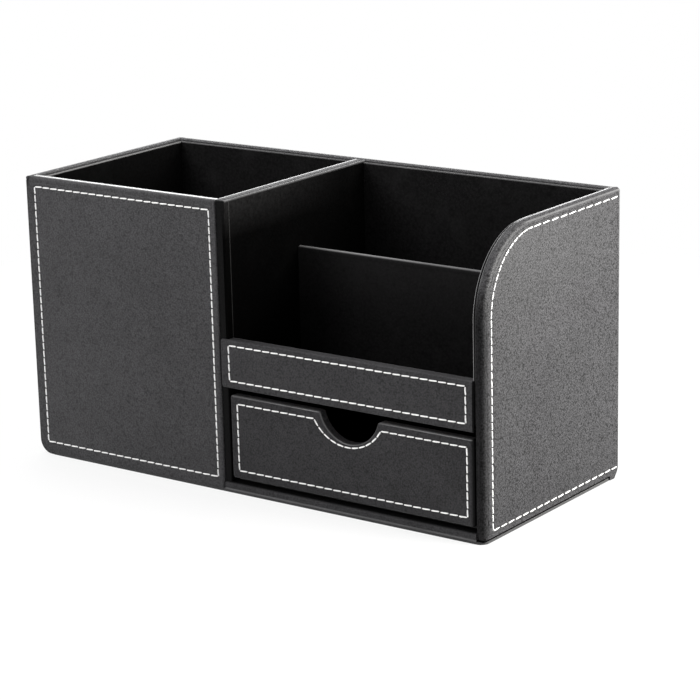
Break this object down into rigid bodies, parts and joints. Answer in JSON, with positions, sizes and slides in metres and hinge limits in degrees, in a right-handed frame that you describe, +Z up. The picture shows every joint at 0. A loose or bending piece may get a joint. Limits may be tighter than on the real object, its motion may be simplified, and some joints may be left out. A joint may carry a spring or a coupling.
{
  "type": "desk organizer",
  "caption": "Desk organizer in stitched leather over board, with a deep pen bay, open trays behind a low band, and a drawer with a half-moon finger notch.",
  "frame": {"origin": "centre of the footprint at table level, under the middle of the case", "axes": "+X to the user's right along the width, -Y out of the open front, +Z up"},
  "size_m": [0.225, 0.1, 0.12],
  "materials": {
    "leather": "fine grained black leather with a soft satin sheen",
    "lining": "matt black lining cloth",
    "board": "pressed fibre board, hidden under leather and lining",
    "sole": "thin dark felt sole",
    "covered_board": "fibre board covered in black paper",
    "thread": "white sewing thread"
  },
  "bodies": {
    "case": {"back_board": "board", "band_board": "board", "band_cover": "leather", "band_stitching": "thread", "base_board": "board", "base_sole": "sole", "bay_back_liner": "lining", "bay_floor_liner": "lining", "bay_left_liner": "lining", "bay_right_liner": "lining", "left_board": "board", "low_divider_board": "board", "low_divider_cover": "lining", "main_divider_board": "board", "main_divider_cover": "leather", "outer_wrap": "leather", "outer_wrap_stitching": "thread", "pen_back_lining": "lining", "pen_floor_lining": "lining", "pen_front_board": "board", "pen_front_cover": "leather", "pen_front_lining": "lining", "pen_front_stitching": "thread", "pen_left_lining": "lining", "pen_right_lining": "lining", "rail_cover": "leather", "right_board": "board", "shelf_board": "board", "shelf_lining": "lining", "tray_back_lining": "lining", "tray_left_lining": "lining", "tray_right_lining": "lining"},
    "drawer": {"drawer_back_lining": "lining", "drawer_back_wall": "covered_board", "drawer_floor": "covered_board", "drawer_floor_lining": "lining", "drawer_front_board": "board", "drawer_front_cover": "leather", "drawer_front_lining": "lining", "drawer_left_lining": "lining", "drawer_left_wall": "covered_board", "drawer_right_lining": "lining", "drawer_right_wall": "covered_board", "drawer_stitching": "thread"}
  },
  "joints": [
    {"name": "drawer_slide", "type": "slide", "parent": "case", "child": "drawer", "axis": [0, -1, 0], "range_m": [0, 0.07]}
  ]
}
